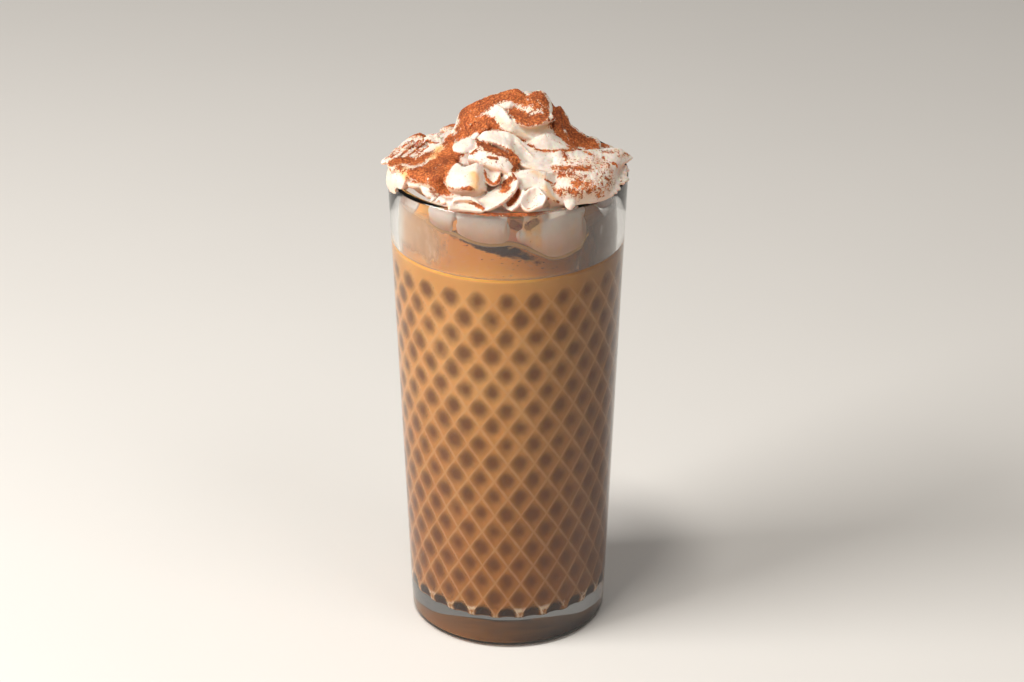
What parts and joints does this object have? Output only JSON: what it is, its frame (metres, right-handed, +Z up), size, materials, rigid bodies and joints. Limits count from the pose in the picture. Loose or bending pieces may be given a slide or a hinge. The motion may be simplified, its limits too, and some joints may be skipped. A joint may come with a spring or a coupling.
{
  "type": "glass of iced coffee",
  "caption": "Tall tumbler with lozenge pads on its inner wall, filled with milky iced coffee under a heap of whipped cream dusted with spice.",
  "frame": {"origin": "centre of the tumbler's flat foot, on the surface that it stands on", "axes": "+Z up the tumbler's axis, +Y away from the viewer of the picture, +X to the viewer's right"},
  "size_m": [0.08, 0.0752, 0.18],
  "materials": {
    "glass": "clear, smooth outside, patterned inside",
    "iced_coffee": "milky caramel brown liquid",
    "whipped_cream": "soft white cream dusted with brown spice"
  },
  "bodies": {
    "root": {"glass": "glass", "iced_coffee": "iced_coffee", "whipped_cream": "whipped_cream"}
  },
  "joints": []
}
